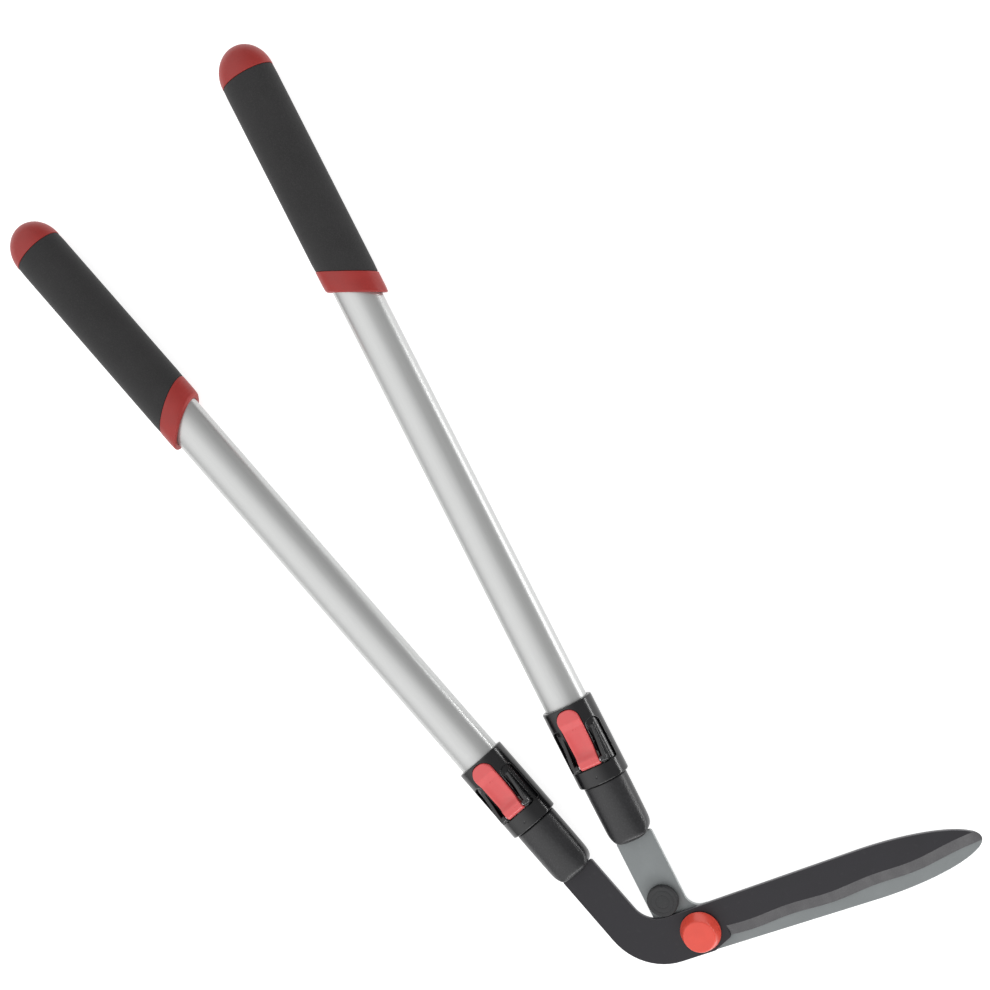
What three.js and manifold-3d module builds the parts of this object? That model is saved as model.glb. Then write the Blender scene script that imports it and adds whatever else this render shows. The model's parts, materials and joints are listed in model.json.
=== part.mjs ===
// Long-handled telescopic garden shears, lying flat and closed.
//
// Frame: millimetres. The origin is on the pivot axis, on the flat underside of the pivot bolt's
// head. +Z runs up the pivot towards the tension knob, +X from the pivot to the closed blades'
// tips, and the handles lead away towards +Y.
import * as THREE from 'three';
import { mergeVertices } from 'three/addons/utils/BufferGeometryUtils.js';
import Module from 'manifold-3d';

const wasm = await Module();
wasm.setup();

// ---------- driving dimensions ----------
const GAP = 0.3;                 // running gap between pieces that touch
const SEGMENTS = 14;             // half the number of sides of an oval
const CORNER_SEGMENTS = 4;       // half the number of steps round a rounded corner

// steel plates
const PLATE = 3.6;               // thickness of both levers
const ARM_HALF = 16.35;          // half width of an arm
const TANG_HALF = 13;            // half width of the tang inside the socket
const SHOULDER = 0.7;            // arm's shoulders, up the handle from its origin
const TANG_TOP = 26;

// blades, closed: the spine is on the outside, the wavy cutting edge on the inside
const BLADE = 236.2;             // pivot axis to tip
const SPINE_AT_PIVOT = 20;       // spine's distance from the centre line at the pivot
const SPINE = 21.8;              // and where the blade begins to narrow
const SPINE_END = 146;           // where the spine turns into the quarter ellipse of the tip
const EDGE = 11.75;              // cutting edge's mean distance beyond the centre line
const EDGE_RISE = 10.1;          // how far it draws back by the tip
const RISE_POWER = 4;
const WAVE = 0.8;                // amplitude of the wavy edge
const WAVE_LENGTH = 70;
const WAVE_CREST = 75;
const EDGE_START = 21.5;         // where the ground edge begins
const EDGE_STEP = 5.5;           // spacing of the points along the wavy edge
const BEVEL_WIDTH = 9.4;
const TIP_BEVEL_START = 140;     // from here the bevel turns with the edge towards the tip
const TIP_BEVEL_TURN = 6;
const EDGE_THICKNESS = 0.6;
const HEEL = 19.2;               // lower edge of the front lever below the pivot

// handles: where each handle's origin lies, and the direction that it leads away in
const FRONT_SOCKET = new THREE.Vector2(-76.9, 80);
const FRONT_ANGLE = 108.6;
const REAR_SOCKET = new THREE.Vector2(-21.4, 90);
const REAR_ANGLE = 93.4;

// oval sections as half width and half height
const OUTER_TUBE = [19, 12.9];
const OUTER_BORE = [17.6, 11.5];
const INNER_TUBE = [17.2, 11.1];
const INNER_BORE = [15.6, 9.5];
const SOCKET = [19.55, 13.8];
const CLAMP = [22.5, 17.6];
const GRIP = [24.1, 17.6];
const CORE = [21.6, 15.4];
const BUSH_HOLE = [12, 6];

// stations along a handle, from its origin near the domed foot of its socket
const SOCKET_FOOT = -1.7;
const SOCKET_END = 53;
const CLAMP_START = 54;
const CLAMP_LENGTH = 69.2;
const INNER_START = 31;
const INNER_END = 474;
const OUTER_START = CLAMP_START + 30.5;
const COLLAR_START = CLAMP_START + 451.8;
const COLLAR_END = CLAMP_START + 471.3;
const CAP_START = CLAMP_START + 654;
const CAP_LENGTH = 27.7;
const OUTER_END = CAP_START + 1;
const COLLAR_SLANT = 0.52;       // drop towards the head per unit outwards
const SOCKET_PIN_STATION = 41;
const SOCKET_PIN_RADIUS = 2;
const BUSH_LENGTH = 15;

// clamp, measured from its lower end
const RING = 14.9;               // plain ring below the lever
const PIN_STATION = 19.2;
const PIN_HEIGHT = 16.7;         // above the handle's axis
const PIN_RADIUS = 1.5;
const PIN_HALF = 15.4;
const LEVER_HALF = 9.7;
const LEVER_END = 67.2;
const LEVER_STEP = 53;           // where the raised thumb tab begins
const HUB_HALF = 8.7;            // the lever is narrower at its hub
const CHANNEL_FLOOR = 14.6;
const PAD_END = 26;
const PAD_FOOT = 5;              // the pad reaches down past the widest part of the inner tube
const HUB_RADIUS = 3.7;
const HUB_OFFSET = 0.14;         // the hub is eccentric, so it presses the pad when the lever is shut
const EAR = [12.6, 15.8];        // the ears that carry the pin
const EAR_FOOT = 8;              // inside the clamp's wall
const BOSS_RADIUS = 2.9;         // round the pin, between an ear and the lever
const POCKET_OUTER = 20.3;
const POCKET_END = 52;
const POCKET_WALL = 1.4;         // wall left between a pocket and the bore
const RIVET_STATION = 50;
const RIVET_RADIUS = 1.6;
const RIVET_HEAD = [16, 17.3];   // above the handle's axis
const RIVET_HEAD_RADIUS = 3.5;

// pivot stack, upwards from the bolt's underside
const HEAD = 5.5;
const HEAD_RADIUS = 9.8;
const WASHER_BOTTOM = HEAD + GAP;
const WASHER = 1.4;
const WASHER_RADIUS = 12;
const REAR_BOTTOM = WASHER_BOTTOM + WASHER + GAP;
const REAR_TOP = REAR_BOTTOM + PLATE;
const FRONT_BOTTOM = REAR_TOP + GAP;
const FRONT_TOP = FRONT_BOTTOM + PLATE;
const KNOB_BOTTOM = FRONT_TOP + GAP;
const KNOB_HEIGHT = 12.3;
const KNOB_RADIUS = 16.8;
const KNOB_TOP_RADIUS = 13.5;
const BOLT_RADIUS = 4;
const BUSH_RADIUS = 5.6;
const PLATE_HOLE = BUSH_RADIUS + GAP;
const SPRING_RADIUS = 11.5;
const SPRING_HOLE = 8.3;
const SPRING = 1.1;
const NUT_BOTTOM = KNOB_BOTTOM + 2.2;
const NUT = 6.5;
const NUT_RADIUS = 7.5;

// rubber stop on the rear arm
const BUMPER = new THREE.Vector2(-19.4, 33.6);
const BUMPER_RADIUS = 13;
const BUMPER_HEIGHT = 6;
const STUD_RADIUS = 3;
const STUD_HEAD_RADIUS = 6;
const STUD_HEAD = 1.6;

const BEYOND = 30;               // how far a cutting solid reaches past the pieces

// ---------- materials ----------
function material(color, roughness, metalness) {
  return new THREE.MeshStandardMaterial({ color, roughness, metalness });
}
const blackCoat = material(0x3b3a40, 0.55, 0.2);
const greyCoat = material(0x868c8e, 0.5, 0.3);
const brightSteel = material(0xb4b6b8, 0.35, 1);
const bronze = material(0xa08050, 0.4, 1);
const silverTube = material(0xc6c8c8, 0.35, 0.9);
const glossBlack = material(0x25262a, 0.25, 0);
const matteBlack = material(0x3a3b3f, 0.6, 0);
const softBlack = material(0x35353a, 0.85, 0);
const rubber = material(0x3f4042, 0.8, 0);
const leverRed = material(0xe26263, 0.4, 0);
const gripRed = material(0xa83838, 0.45, 0);
const knobRed = material(0xeb6455, 0.4, 0);
const nylon = material(0xd8d8d0, 0.5, 0);

// ---------- solids ----------
function solid(geometry) {
  const bare = geometry.clone();
  bare.deleteAttribute('normal');
  bare.deleteAttribute('uv');
  const merged = mergeVertices(bare, 1e-4);
  return new wasm.Manifold(new wasm.Mesh({
    numProp: 3,
    vertProperties: new Float32Array(merged.attributes.position.array),
    triVerts: new Uint32Array(merged.index.array),
  }));
}

function geometryOf(manifold) {
  const mesh = manifold.getMesh();
  const geometry = new THREE.BufferGeometry();
  geometry.setAttribute('position', new THREE.BufferAttribute(mesh.vertProperties, 3));
  geometry.setIndex(new THREE.BufferAttribute(mesh.triVerts, 1));
  geometry.computeVertexNormals();
  return geometry;
}

// a shape drawn in X and Y, extruded upwards from low to high
function slab(shape, low, high, curveSegments = SEGMENTS) {
  const options = { depth: high - low, bevelEnabled: false, curveSegments };
  const geometry = new THREE.ExtrudeGeometry(shape, options);
  geometry.translate(0, 0, low);
  return solid(geometry);
}

function ovalShape([halfWidth, halfHeight], grow = 0) {
  const shape = new THREE.Shape();
  shape.absellipse(0, 0, halfWidth + grow, halfHeight + grow, 0, 2 * Math.PI);
  return shape;
}

function oval(section, low, high, grow = 0) {
  return slab(ovalShape(section, grow), low, high);
}

// an oval whose two ends are rounded over by the given radius
function roundedOval([halfWidth, halfHeight], low, high, rounding) {
  const geometry = new THREE.ExtrudeGeometry(ovalShape([halfWidth, halfHeight]), {
    depth: high - low - 2 * rounding,
    bevelThickness: rounding,
    bevelSize: rounding,
    bevelOffset: -rounding,
    bevelSegments: 2,
    curveSegments: SEGMENTS,
  });
  geometry.translate(0, 0, low + rounding);
  return solid(geometry);
}

function ovalTube(outside, inside, low, high) {
  return oval(outside, low, high).subtract(oval(inside, low - 1, high + 1));
}

function cylinder(radius, low, high, sides = 32) {
  const geometry = new THREE.CylinderGeometry(radius, radius, high - low, sides);
  geometry.rotateX(Math.PI / 2);
  geometry.translate(0, 0, (low + high) / 2);
  return solid(geometry);
}

function box(xs, ys, zs) {
  const geometry = new THREE.BoxGeometry(xs[1] - xs[0], ys[1] - ys[0], zs[1] - zs[0]);
  geometry.translate((xs[0] + xs[1]) / 2, (ys[0] + ys[1]) / 2, (zs[0] + zs[1]) / 2);
  return solid(geometry);
}

// Outlines are drawn as corners [x, y] or [x, y, radius]: a corner with a radius is an arc
// that touches both of its sides.
function outline(corners) {
  const shape = new THREE.Shape();
  corners.forEach(([x, y, radius = 0], index) => {
    const corner = new THREE.Vector2(x, y);
    if (radius === 0) {
      if (index === 0) shape.moveTo(x, y);
      else shape.lineTo(x, y);
      return;
    }
    const before = corners[(index + corners.length - 1) % corners.length];
    const after = corners[(index + 1) % corners.length];
    const arriving = corner.clone().sub(new THREE.Vector2(before[0], before[1])).normalize();
    const leaving = new THREE.Vector2(after[0], after[1]).sub(corner).normalize();
    const side = Math.sign(arriving.cross(leaving));
    const turn = Math.acos(THREE.MathUtils.clamp(arriving.dot(leaving), -1, 1));
    const reach = radius * Math.tan(turn / 2);
    const start = corner.clone().addScaledVector(arriving, -reach);
    const normal = new THREE.Vector2(-arriving.y, arriving.x).multiplyScalar(side);
    const centre = start.clone().addScaledVector(normal, radius);
    const from = Math.atan2(start.y - centre.y, start.x - centre.x);
    if (index === 0) shape.moveTo(start.x, start.y);
    else shape.lineTo(start.x, start.y);
    shape.absarc(centre.x, centre.y, radius, from, from + side * turn, side < 0);
  });
  return shape;
}

// the handle's own axes are X across, Y up and Z along it: these cut a handle piece to an
// outline seen from above (x, z) or from the side (y, z)
function seenFromAbove(corners, low, high) {
  const geometry = new THREE.ExtrudeGeometry(outline(corners), {
    depth: high - low,
    bevelEnabled: false,
    curveSegments: CORNER_SEGMENTS,
  });
  geometry.rotateX(Math.PI / 2);
  geometry.translate(0, high, 0);
  return solid(geometry);
}

function seenFromSide(corners, low, high) {
  const geometry = new THREE.ExtrudeGeometry(outline(corners), {
    depth: high - low,
    bevelEnabled: false,
    curveSegments: CORNER_SEGMENTS,
  });
  const turned = new THREE.Matrix4().makeBasis(
    new THREE.Vector3(0, 1, 0),
    new THREE.Vector3(0, 0, 1),
    new THREE.Vector3(1, 0, 0),
  );
  geometry.applyMatrix4(turned);
  geometry.translate(low, 0, 0);
  return solid(geometry);
}

const shears = new THREE.Group();

function place(name, manifold, look, parent = shears) {
  const mesh = new THREE.Mesh(geometryOf(manifold), look);
  mesh.name = name;
  parent.add(mesh);
  return mesh;
}

// ---------- steel levers ----------
function cuttingEdge(x) {
  const rise = EDGE_RISE * (x / BLADE) ** RISE_POWER;
  const wave = WAVE * Math.cos((2 * Math.PI * (x - WAVE_CREST)) / WAVE_LENGTH);
  return -EDGE + rise + wave;
}

const spineSlope = (SPINE - SPINE_AT_PIVOT) / SPINE_END;

function edgePoints() {
  const points = [];
  for (let x = EDGE_START; x < BLADE - 1; x += EDGE_STEP) points.push([x, cuttingEdge(x)]);
  points.push([BLADE - 0.6, cuttingEdge(BLADE)]);
  return points;
}

function tipPoints() {
  const points = [];
  for (let degrees = -3; degrees < 90; degrees += 6) {
    const angle = THREE.MathUtils.degToRad(degrees);
    points.push([SPINE_END + (BLADE - SPINE_END) * Math.cos(angle), SPINE * Math.sin(angle)]);
  }
  return points;
}

// a point on a handle's plan: how far along it, and how far across to its right
function onHandle(socket, degrees, along, across) {
  const angle = THREE.MathUtils.degToRad(degrees);
  const x = socket.x + along * Math.cos(angle) + across * Math.sin(angle);
  const y = socket.y + along * Math.sin(angle) - across * Math.cos(angle);
  return [x, y];
}

// where the line along one side of an arm meets the line y = height + slope * x
function armMeets(socket, degrees, across, height, slope = 0) {
  const [x, y] = onHandle(socket, degrees, 0, across);
  const angle = THREE.MathUtils.degToRad(degrees);
  const along = (height + slope * x - y) / (Math.sin(angle) - slope * Math.cos(angle));
  return [x + along * Math.cos(angle), y + along * Math.sin(angle)];
}

function tangAndShoulders(socket, degrees) {
  const at = (along, across) => onHandle(socket, degrees, along, across);
  return {
    right: [
      [...at(SHOULDER, ARM_HALF), 2],
      at(SHOULDER, TANG_HALF),
      at(TANG_TOP, TANG_HALF),
    ],
    left: [
      at(TANG_TOP, -TANG_HALF),
      at(SHOULDER, -TANG_HALF),
      [...at(SHOULDER, -ARM_HALF), 2],
    ],
  };
}

// the ground bevel on the front blade's upper face: one flat wedge along the straight part of
// the edge and one turned to follow it towards the tip
function bevelCut() {
  const slope = (PLATE - EDGE_THICKNESS) / BEVEL_WIDTH;
  const outside = 4;
  const top = FRONT_TOP + outside * slope;
  const wedge = seenFromSide([
    [-EDGE - outside, FRONT_BOTTOM + EDGE_THICKNESS - outside * slope],
    [-EDGE + BEVEL_WIDTH + outside, top],
    [-EDGE - outside, top],
  ], 0, BLADE + EDGE_STEP);
  const straight = wedge.translate([EDGE_START - 1, 0, 0]);
  const tipTurn = THREE.MathUtils.degToRad(TIP_BEVEL_TURN);
  const turned = wedge
    .translate([-BLADE / 2, EDGE, 0])
    .rotate([0, 0, TIP_BEVEL_TURN])
    .translate([TIP_BEVEL_START + BLADE / 2, (BLADE / 2) * Math.sin(tipTurn) - EDGE, 0]);
  return straight.add(turned);
}

function frontBlade() {
  const tang = tangAndShoulders(FRONT_SOCKET, FRONT_ANGLE);
  const shape = outline([
    ...tang.left,
    [...armMeets(FRONT_SOCKET, FRONT_ANGLE, -ARM_HALF, -HEEL), 50],
    [5, -HEEL, 6],
    [20.5, -EDGE - 1.1, 1.5],
    ...edgePoints(),
    ...tipPoints(),
    [SPINE_END, SPINE],
    [...armMeets(FRONT_SOCKET, FRONT_ANGLE, ARM_HALF, SPINE_AT_PIVOT, spineSlope), 22],
    ...tang.right,
  ]);
  return slab(shape, FRONT_BOTTOM, FRONT_TOP, CORNER_SEGMENTS)
    .subtract(bevelCut())
    .subtract(cylinder(PLATE_HOLE, 0, KNOB_BOTTOM));
}

function rearBlade() {
  const tang = tangAndShoulders(REAR_SOCKET, REAR_ANGLE);
  const mirrored = ([x, y]) => [x, -y];
  const shape = outline([
    ...tang.left,
    [...armMeets(REAR_SOCKET, REAR_ANGLE, -ARM_HALF, -SPINE_AT_PIVOT, -spineSlope), 28],
    [SPINE_END, -SPINE],
    ...tipPoints().reverse().map(mirrored),
    ...edgePoints().reverse().map(mirrored),
    [20.5, EDGE + 1.1, 1.5],
    [13, HEEL, 1],
    [...armMeets(REAR_SOCKET, REAR_ANGLE, ARM_HALF, HEEL), 12],
    ...tang.right,
  ]);
  const studHole = cylinder(STUD_RADIUS + GAP, 0, KNOB_BOTTOM).translate([BUMPER.x, BUMPER.y, 0]);
  const underBevel = bevelCut().rotate([180, 0, 0]).translate([0, 0, FRONT_TOP + REAR_BOTTOM]);
  return slab(shape, REAR_BOTTOM, REAR_TOP, CORNER_SEGMENTS)
    .subtract(underBevel)
    .subtract(cylinder(PLATE_HOLE, 0, KNOB_BOTTOM))
    .subtract(studHole);
}

place('front_blade', frontBlade(), blackCoat);
place('rear_blade', rearBlade(), greyCoat);

// ---------- pivot ----------
function ring(radius, hole, low, high) {
  return cylinder(radius, low, high).subtract(cylinder(hole, low - 1, high + 1));
}

function knob() {
  const top = KNOB_BOTTOM + KNOB_HEIGHT;
  const rim = 2.6;
  const profile = [
    new THREE.Vector2(0, KNOB_BOTTOM),
    new THREE.Vector2(KNOB_RADIUS - 0.4, KNOB_BOTTOM),
    new THREE.Vector2(KNOB_RADIUS, KNOB_BOTTOM + 0.6),
  ];
  for (let degrees = 0; degrees <= 90; degrees += 30) {
    const angle = THREE.MathUtils.degToRad(degrees);
    const radius = KNOB_TOP_RADIUS - rim + rim * Math.cos(angle);
    profile.push(new THREE.Vector2(radius, top - rim - 0.3 + rim * Math.sin(angle)));
  }
  profile.push(new THREE.Vector2(0, top));
  const body = new THREE.LatheGeometry(profile, 32);
  body.rotateX(Math.PI / 2);
  const boltTop = NUT_BOTTOM + NUT + 2;
  return solid(body)
    .subtract(cylinder(SPRING_RADIUS + GAP, KNOB_BOTTOM - 1, KNOB_BOTTOM + SPRING + GAP))
    .subtract(cylinder(NUT_RADIUS + GAP, KNOB_BOTTOM - 1, NUT_BOTTOM + NUT + GAP, 6))
    .subtract(cylinder(BOLT_RADIUS + GAP, KNOB_BOTTOM - 1, boltTop));
}

const boltEnd = NUT_BOTTOM + NUT + 1.5;
const boltHole = BOLT_RADIUS + GAP;
const bolt = cylinder(HEAD_RADIUS, 0, HEAD, 6).add(cylinder(BOLT_RADIUS, HEAD - 1, boltEnd, 24));
const washer = ring(WASHER_RADIUS, boltHole, WASHER_BOTTOM, WASHER_BOTTOM + WASHER);
const spring = ring(SPRING_RADIUS, SPRING_HOLE, KNOB_BOTTOM, KNOB_BOTTOM + SPRING);
const nut = cylinder(NUT_RADIUS, NUT_BOTTOM, NUT_BOTTOM + NUT, 6)
  .subtract(cylinder(boltHole, NUT_BOTTOM - 1, NUT_BOTTOM + NUT + 1));
place('pivot_bolt', bolt, brightSteel);
place('pivot_washer', washer, brightSteel);
place('pivot_bush', ring(BUSH_RADIUS, boltHole, REAR_BOTTOM, FRONT_TOP), bronze);
place('spring_washer', spring, brightSteel);
place('knob_nut', nut, brightSteel);
place('pivot_knob', knob(), knobRed);

// ---------- rubber stop ----------
const studTop = REAR_TOP + BUMPER_HEIGHT - 2;
const bumper = cylinder(BUMPER_RADIUS, REAR_TOP + GAP, REAR_TOP + BUMPER_HEIGHT, 40)
  .subtract(cylinder(STUD_RADIUS + GAP, REAR_TOP, studTop + GAP, 24));
const studHeadTop = REAR_BOTTOM - GAP;
const stud = cylinder(STUD_HEAD_RADIUS, studHeadTop - STUD_HEAD, studHeadTop)
  .add(cylinder(STUD_RADIUS, REAR_BOTTOM - 1, studTop, 24));
place('bumper', bumper.translate([BUMPER.x, BUMPER.y, 0]), rubber);
place('bumper_stud', stud.translate([BUMPER.x, BUMPER.y, 0]), brightSteel);

// ---------- handle pieces, along +Z, upper side +Y ----------
function socketBody() {
  const [halfWidth, halfHeight] = SOCKET;
  const end = SOCKET_END + 1;
  const plan = seenFromAbove([
    [-halfWidth - 1, end],
    [-halfWidth, SOCKET_FOOT + 4.3, 13],
    [0, SOCKET_FOOT - 3, 30],
    [halfWidth, SOCKET_FOOT + 4.3, 13],
    [halfWidth + 1, end],
  ], -BEYOND, BEYOND);
  const elevation = seenFromSide([
    [-halfHeight - 1, end],
    [-halfHeight, SOCKET_FOOT, 9],
    [halfHeight, SOCKET_FOOT, 9],
    [halfHeight + 1, end],
  ], -BEYOND, BEYOND);
  const slot = PLATE / 2 + GAP;
  const tang = TANG_HALF + GAP;
  const tangSlot = box([-tang, tang], [-slot, slot], [-BEYOND, TANG_TOP + GAP]);
  const shoulderSlot = box([-BEYOND, BEYOND], [-slot, slot], [-BEYOND, SHOULDER + GAP]);
  const groove = oval(OUTER_BORE, INNER_START - GAP, end)
    .subtract(oval(INNER_BORE, 0, end + 1, -0.4));
  return roundedOval(SOCKET, SOCKET_FOOT - 3, SOCKET_END, 0.8)
    .intersect(plan)
    .intersect(elevation)
    .subtract(groove)
    .subtract(tangSlot)
    .subtract(shoulderSlot)
    .subtract(socketPin(GAP));
}

// spring pin from the underside through the socket's wall and the inner tube into the core
function socketPin(grow = 0) {
  const pin = cylinder(SOCKET_PIN_RADIUS + grow, 3 - grow, SOCKET[1] - 0.4 + 5 * grow, 16);
  return pin.rotate([90, 0, 0]).translate([0, 0, SOCKET_PIN_STATION]);
}

function innerTube() {
  return ovalTube(INNER_TUBE, INNER_BORE, INNER_START, INNER_END).subtract(socketPin(GAP));
}

function guideBush() {
  const spigot = oval(INNER_BORE, INNER_END - BUSH_LENGTH, INNER_END + 1, -GAP);
  const hole = oval(BUSH_HOLE, INNER_END - BEYOND, INNER_END + BEYOND);
  return oval(INNER_TUBE, INNER_END + GAP, INNER_END + 3).add(spigot).subtract(hole);
}

function clampRivet(grow = 0) {
  const [low, high] = RIVET_HEAD;
  const head = cylinder(RIVET_HEAD_RADIUS + grow, low, high + 3 * grow, 20);
  const shank = cylinder(RIVET_RADIUS + grow, OUTER_BORE[1] + 0.1 - 2 * grow, low + 0.5, 16);
  return head.add(shank).rotate([90, 0, 0]).translate([0, 0, CLAMP_START + RIVET_STATION]);
}

function outerTube() {
  return ovalTube(OUTER_TUBE, OUTER_BORE, OUTER_START, OUTER_END).subtract(clampRivet(GAP));
}

const hinge = CLAMP_START + PIN_STATION;

function acrossCylinder(radius, halfLength, sides) {
  const upright = cylinder(radius, -halfLength, halfLength, sides);
  return upright.rotate([0, 90, 0]).translate([0, PIN_HEIGHT, hinge]);
}

function clampBody() {
  const start = CLAMP_START;
  const end = start + CLAMP_LENGTH;
  const ringEnd = start + RING;
  const window = LEVER_HALF + GAP;
  const lowerBore = oval(OUTER_BORE, start - 1, OUTER_START);
  const upperBore = oval(OUTER_TUBE, OUTER_START - GAP, end + 1, GAP);
  const channel = seenFromAbove([
    [-window, ringEnd],
    [-window, start + LEVER_END + GAP, window],
    [window, start + LEVER_END + GAP, window],
    [window, ringEnd],
  ], CHANNEL_FLOOR, BEYOND);
  const padWindow = seenFromAbove([
    [-window, ringEnd],
    [-window, start + PAD_END + GAP],
    [window, start + PAD_END + GAP],
    [window, ringEnd],
  ], PAD_FOOT, BEYOND);
  const wall = oval(OUTER_TUBE, start, end, POCKET_WALL + GAP);
  const earSide = [
    [EAR_FOOT, ringEnd + 0.6],
    [PIN_HEIGHT, ringEnd + 0.6],
    [PIN_HEIGHT + 2.8, hinge - 2.4, 2.5],
    [PIN_HEIGHT + 2.2, hinge + 4, 3],
    [11.5, start + POCKET_END - 4, 2],
    [EAR_FOOT, start + POCKET_END],
  ];
  let body = roundedOval(CLAMP, start, end, 1.2);
  for (const side of [-1, 1]) {
    const pocket = seenFromAbove([
      [side * (window + 0.5), ringEnd],
      [side * (window + 0.5), start + POCKET_END, 3],
      [side * POCKET_OUTER, start + POCKET_END, 5],
      [side * POCKET_OUTER, ringEnd],
    ], 0, BEYOND);
    const [low, high] = EAR.map((across) => across * side).sort((a, b) => a - b);
    body = body.subtract(pocket.subtract(wall)).add(seenFromSide(earSide, low, high));
  }
  const boss = acrossCylinder(BOSS_RADIUS, EAR[0] + 0.5, 20);
  const bossFoot = box(
    [-EAR[0] - 0.5, EAR[0] + 0.5],
    [EAR_FOOT, PIN_HEIGHT],
    [ringEnd + 0.6, hinge + BOSS_RADIUS],
  );
  return body
    .add(boss)
    .add(bossFoot)
    .subtract(upperBore)
    .subtract(lowerBore)
    .subtract(channel)
    .subtract(padWindow)
    .subtract(acrossCylinder(PIN_RADIUS + GAP, PIN_HALF + 1, 16))
    .subtract(clampRivet(GAP));
}

function lockLever() {
  const start = CLAMP_START;
  const under = CHANNEL_FLOOR + GAP;
  const profile = seenFromSide([
    [under, hinge + 1],
    [under, start + LEVER_END],
    [18.4, start + LEVER_END, 1],
    [19.4, start + LEVER_STEP + 2],
    [17.2, start + LEVER_STEP - 1],
    [17.4, start + 38, 60],
    [PIN_HEIGHT + HUB_RADIUS + 0.2, hinge + 3, 2],
    [PIN_HEIGHT, hinge + 1],
  ], -LEVER_HALF, LEVER_HALF);
  const plan = seenFromAbove([
    [-HUB_HALF, start + RING],
    [-LEVER_HALF, start + LEVER_STEP],
    [-LEVER_HALF, start + LEVER_END, LEVER_HALF - 0.1],
    [LEVER_HALF, start + LEVER_END, LEVER_HALF - 0.1],
    [LEVER_HALF, start + LEVER_STEP],
    [HUB_HALF, start + RING],
  ], -BEYOND, BEYOND);
  const hub = acrossCylinder(HUB_RADIUS, HUB_HALF, 24).translate([0, -HUB_OFFSET, HUB_OFFSET]);
  const pinHole = acrossCylinder(PIN_RADIUS + GAP, LEVER_HALF + 1, 16);
  return profile.intersect(plan).add(hub).subtract(pinHole);
}

function brakePad() {
  const top = PIN_HEIGHT - HUB_OFFSET - HUB_RADIUS - GAP;
  const half = LEVER_HALF - GAP;
  const stations = [CLAMP_START + RING + GAP, CLAMP_START + PAD_END];
  return box([-half, half], [PAD_FOOT, top], stations)
    .subtract(oval(INNER_TUBE, stations[0] - 1, stations[1] + 1, GAP));
}

function gripCore(outward) {
  const drop = BEYOND * COLLAR_SLANT * outward;
  const dome = new THREE.SphereGeometry(1, 28, 16);
  dome.scale(GRIP[0], GRIP[1], CAP_LENGTH);
  dome.translate(0, 0, CAP_START);
  const collarTrim = seenFromAbove([
    [-BEYOND, COLLAR_START + drop],
    [BEYOND, COLLAR_START - drop],
    [BEYOND, COLLAR_END - drop],
    [-BEYOND, COLLAR_END + drop],
  ], -BEYOND, BEYOND);
  const collar = roundedOval(GRIP, COLLAR_START - BEYOND, CAP_START, 0.8).intersect(collarTrim);
  const across = [-BEYOND, BEYOND];
  const cap = solid(dome).intersect(box(across, across, [CAP_START, CAP_START + BEYOND]));
  return oval(CORE, COLLAR_END - 3, CAP_START + 1)
    .add(collar)
    .add(cap)
    .subtract(oval(OUTER_TUBE, COLLAR_START - BEYOND, OUTER_END + GAP, GAP));
}

function gripSleeve(outward) {
  const drop = BEYOND * COLLAR_SLANT * outward;
  const trim = seenFromAbove([
    [-BEYOND, COLLAR_END + GAP + drop],
    [BEYOND, COLLAR_END + GAP - drop],
    [BEYOND, CAP_START - GAP],
    [-BEYOND, CAP_START - GAP],
  ], -BEYOND, BEYOND);
  return oval(GRIP, COLLAR_END - BEYOND, CAP_START)
    .intersect(trim)
    .subtract(oval(CORE, COLLAR_END - BEYOND - 1, CAP_START + 1, GAP));
}

// outward is the side, in the handle's own X, that faces away from the other handle
function buildHandle(name, socket, degrees, height, outward) {
  const angle = THREE.MathUtils.degToRad(degrees);
  const along = new THREE.Vector3(Math.cos(angle), Math.sin(angle), 0);
  const up = new THREE.Vector3(0, 0, 1);
  const across = up.clone().cross(along);
  const handle = new THREE.Group();
  handle.position.set(socket.x, socket.y, height);
  handle.quaternion.setFromRotationMatrix(new THREE.Matrix4().makeBasis(across, up, along));
  place(`${name}_socket`, socketBody(), matteBlack, handle);
  place(`${name}_socket_pin`, socketPin(), brightSteel, handle);
  place(`${name}_inner_tube`, innerTube(), silverTube, handle);
  place(`${name}_guide_bush`, guideBush(), nylon, handle);
  place(`${name}_outer_tube`, outerTube(), silverTube, handle);
  place(`${name}_clamp`, clampBody(), glossBlack, handle);
  place(`${name}_clamp_rivet`, clampRivet(), brightSteel, handle);
  place(`${name}_lever_pin`, acrossCylinder(PIN_RADIUS, PIN_HALF, 16), brightSteel, handle);
  place(`${name}_lock_lever`, lockLever(), leverRed, handle);
  place(`${name}_brake_pad`, brakePad(), nylon, handle);
  place(`${name}_grip_core`, gripCore(outward), gripRed, handle);
  place(`${name}_grip_sleeve`, gripSleeve(outward), softBlack, handle);
  shears.add(handle);
}

buildHandle('front', FRONT_SOCKET, FRONT_ANGLE, FRONT_BOTTOM + PLATE / 2, 1);
buildHandle('rear', REAR_SOCKET, REAR_ANGLE, REAR_BOTTOM + PLATE / 2, -1);

export default shears;
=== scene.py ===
"""Looks of the long-handled telescopic shears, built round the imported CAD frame.

Shapes are worked out in millimetres and become metres as each piece is made. A handle piece is drawn
in its handle's own axes: X across, Y up and Z along it, from near the domed foot of its socket.
"""
import json
import math

import bmesh
import bpy
import numpy as np
from mathutils import Matrix, Quaternion, Vector
from mathutils.geometry import tessellate_polygon


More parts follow.
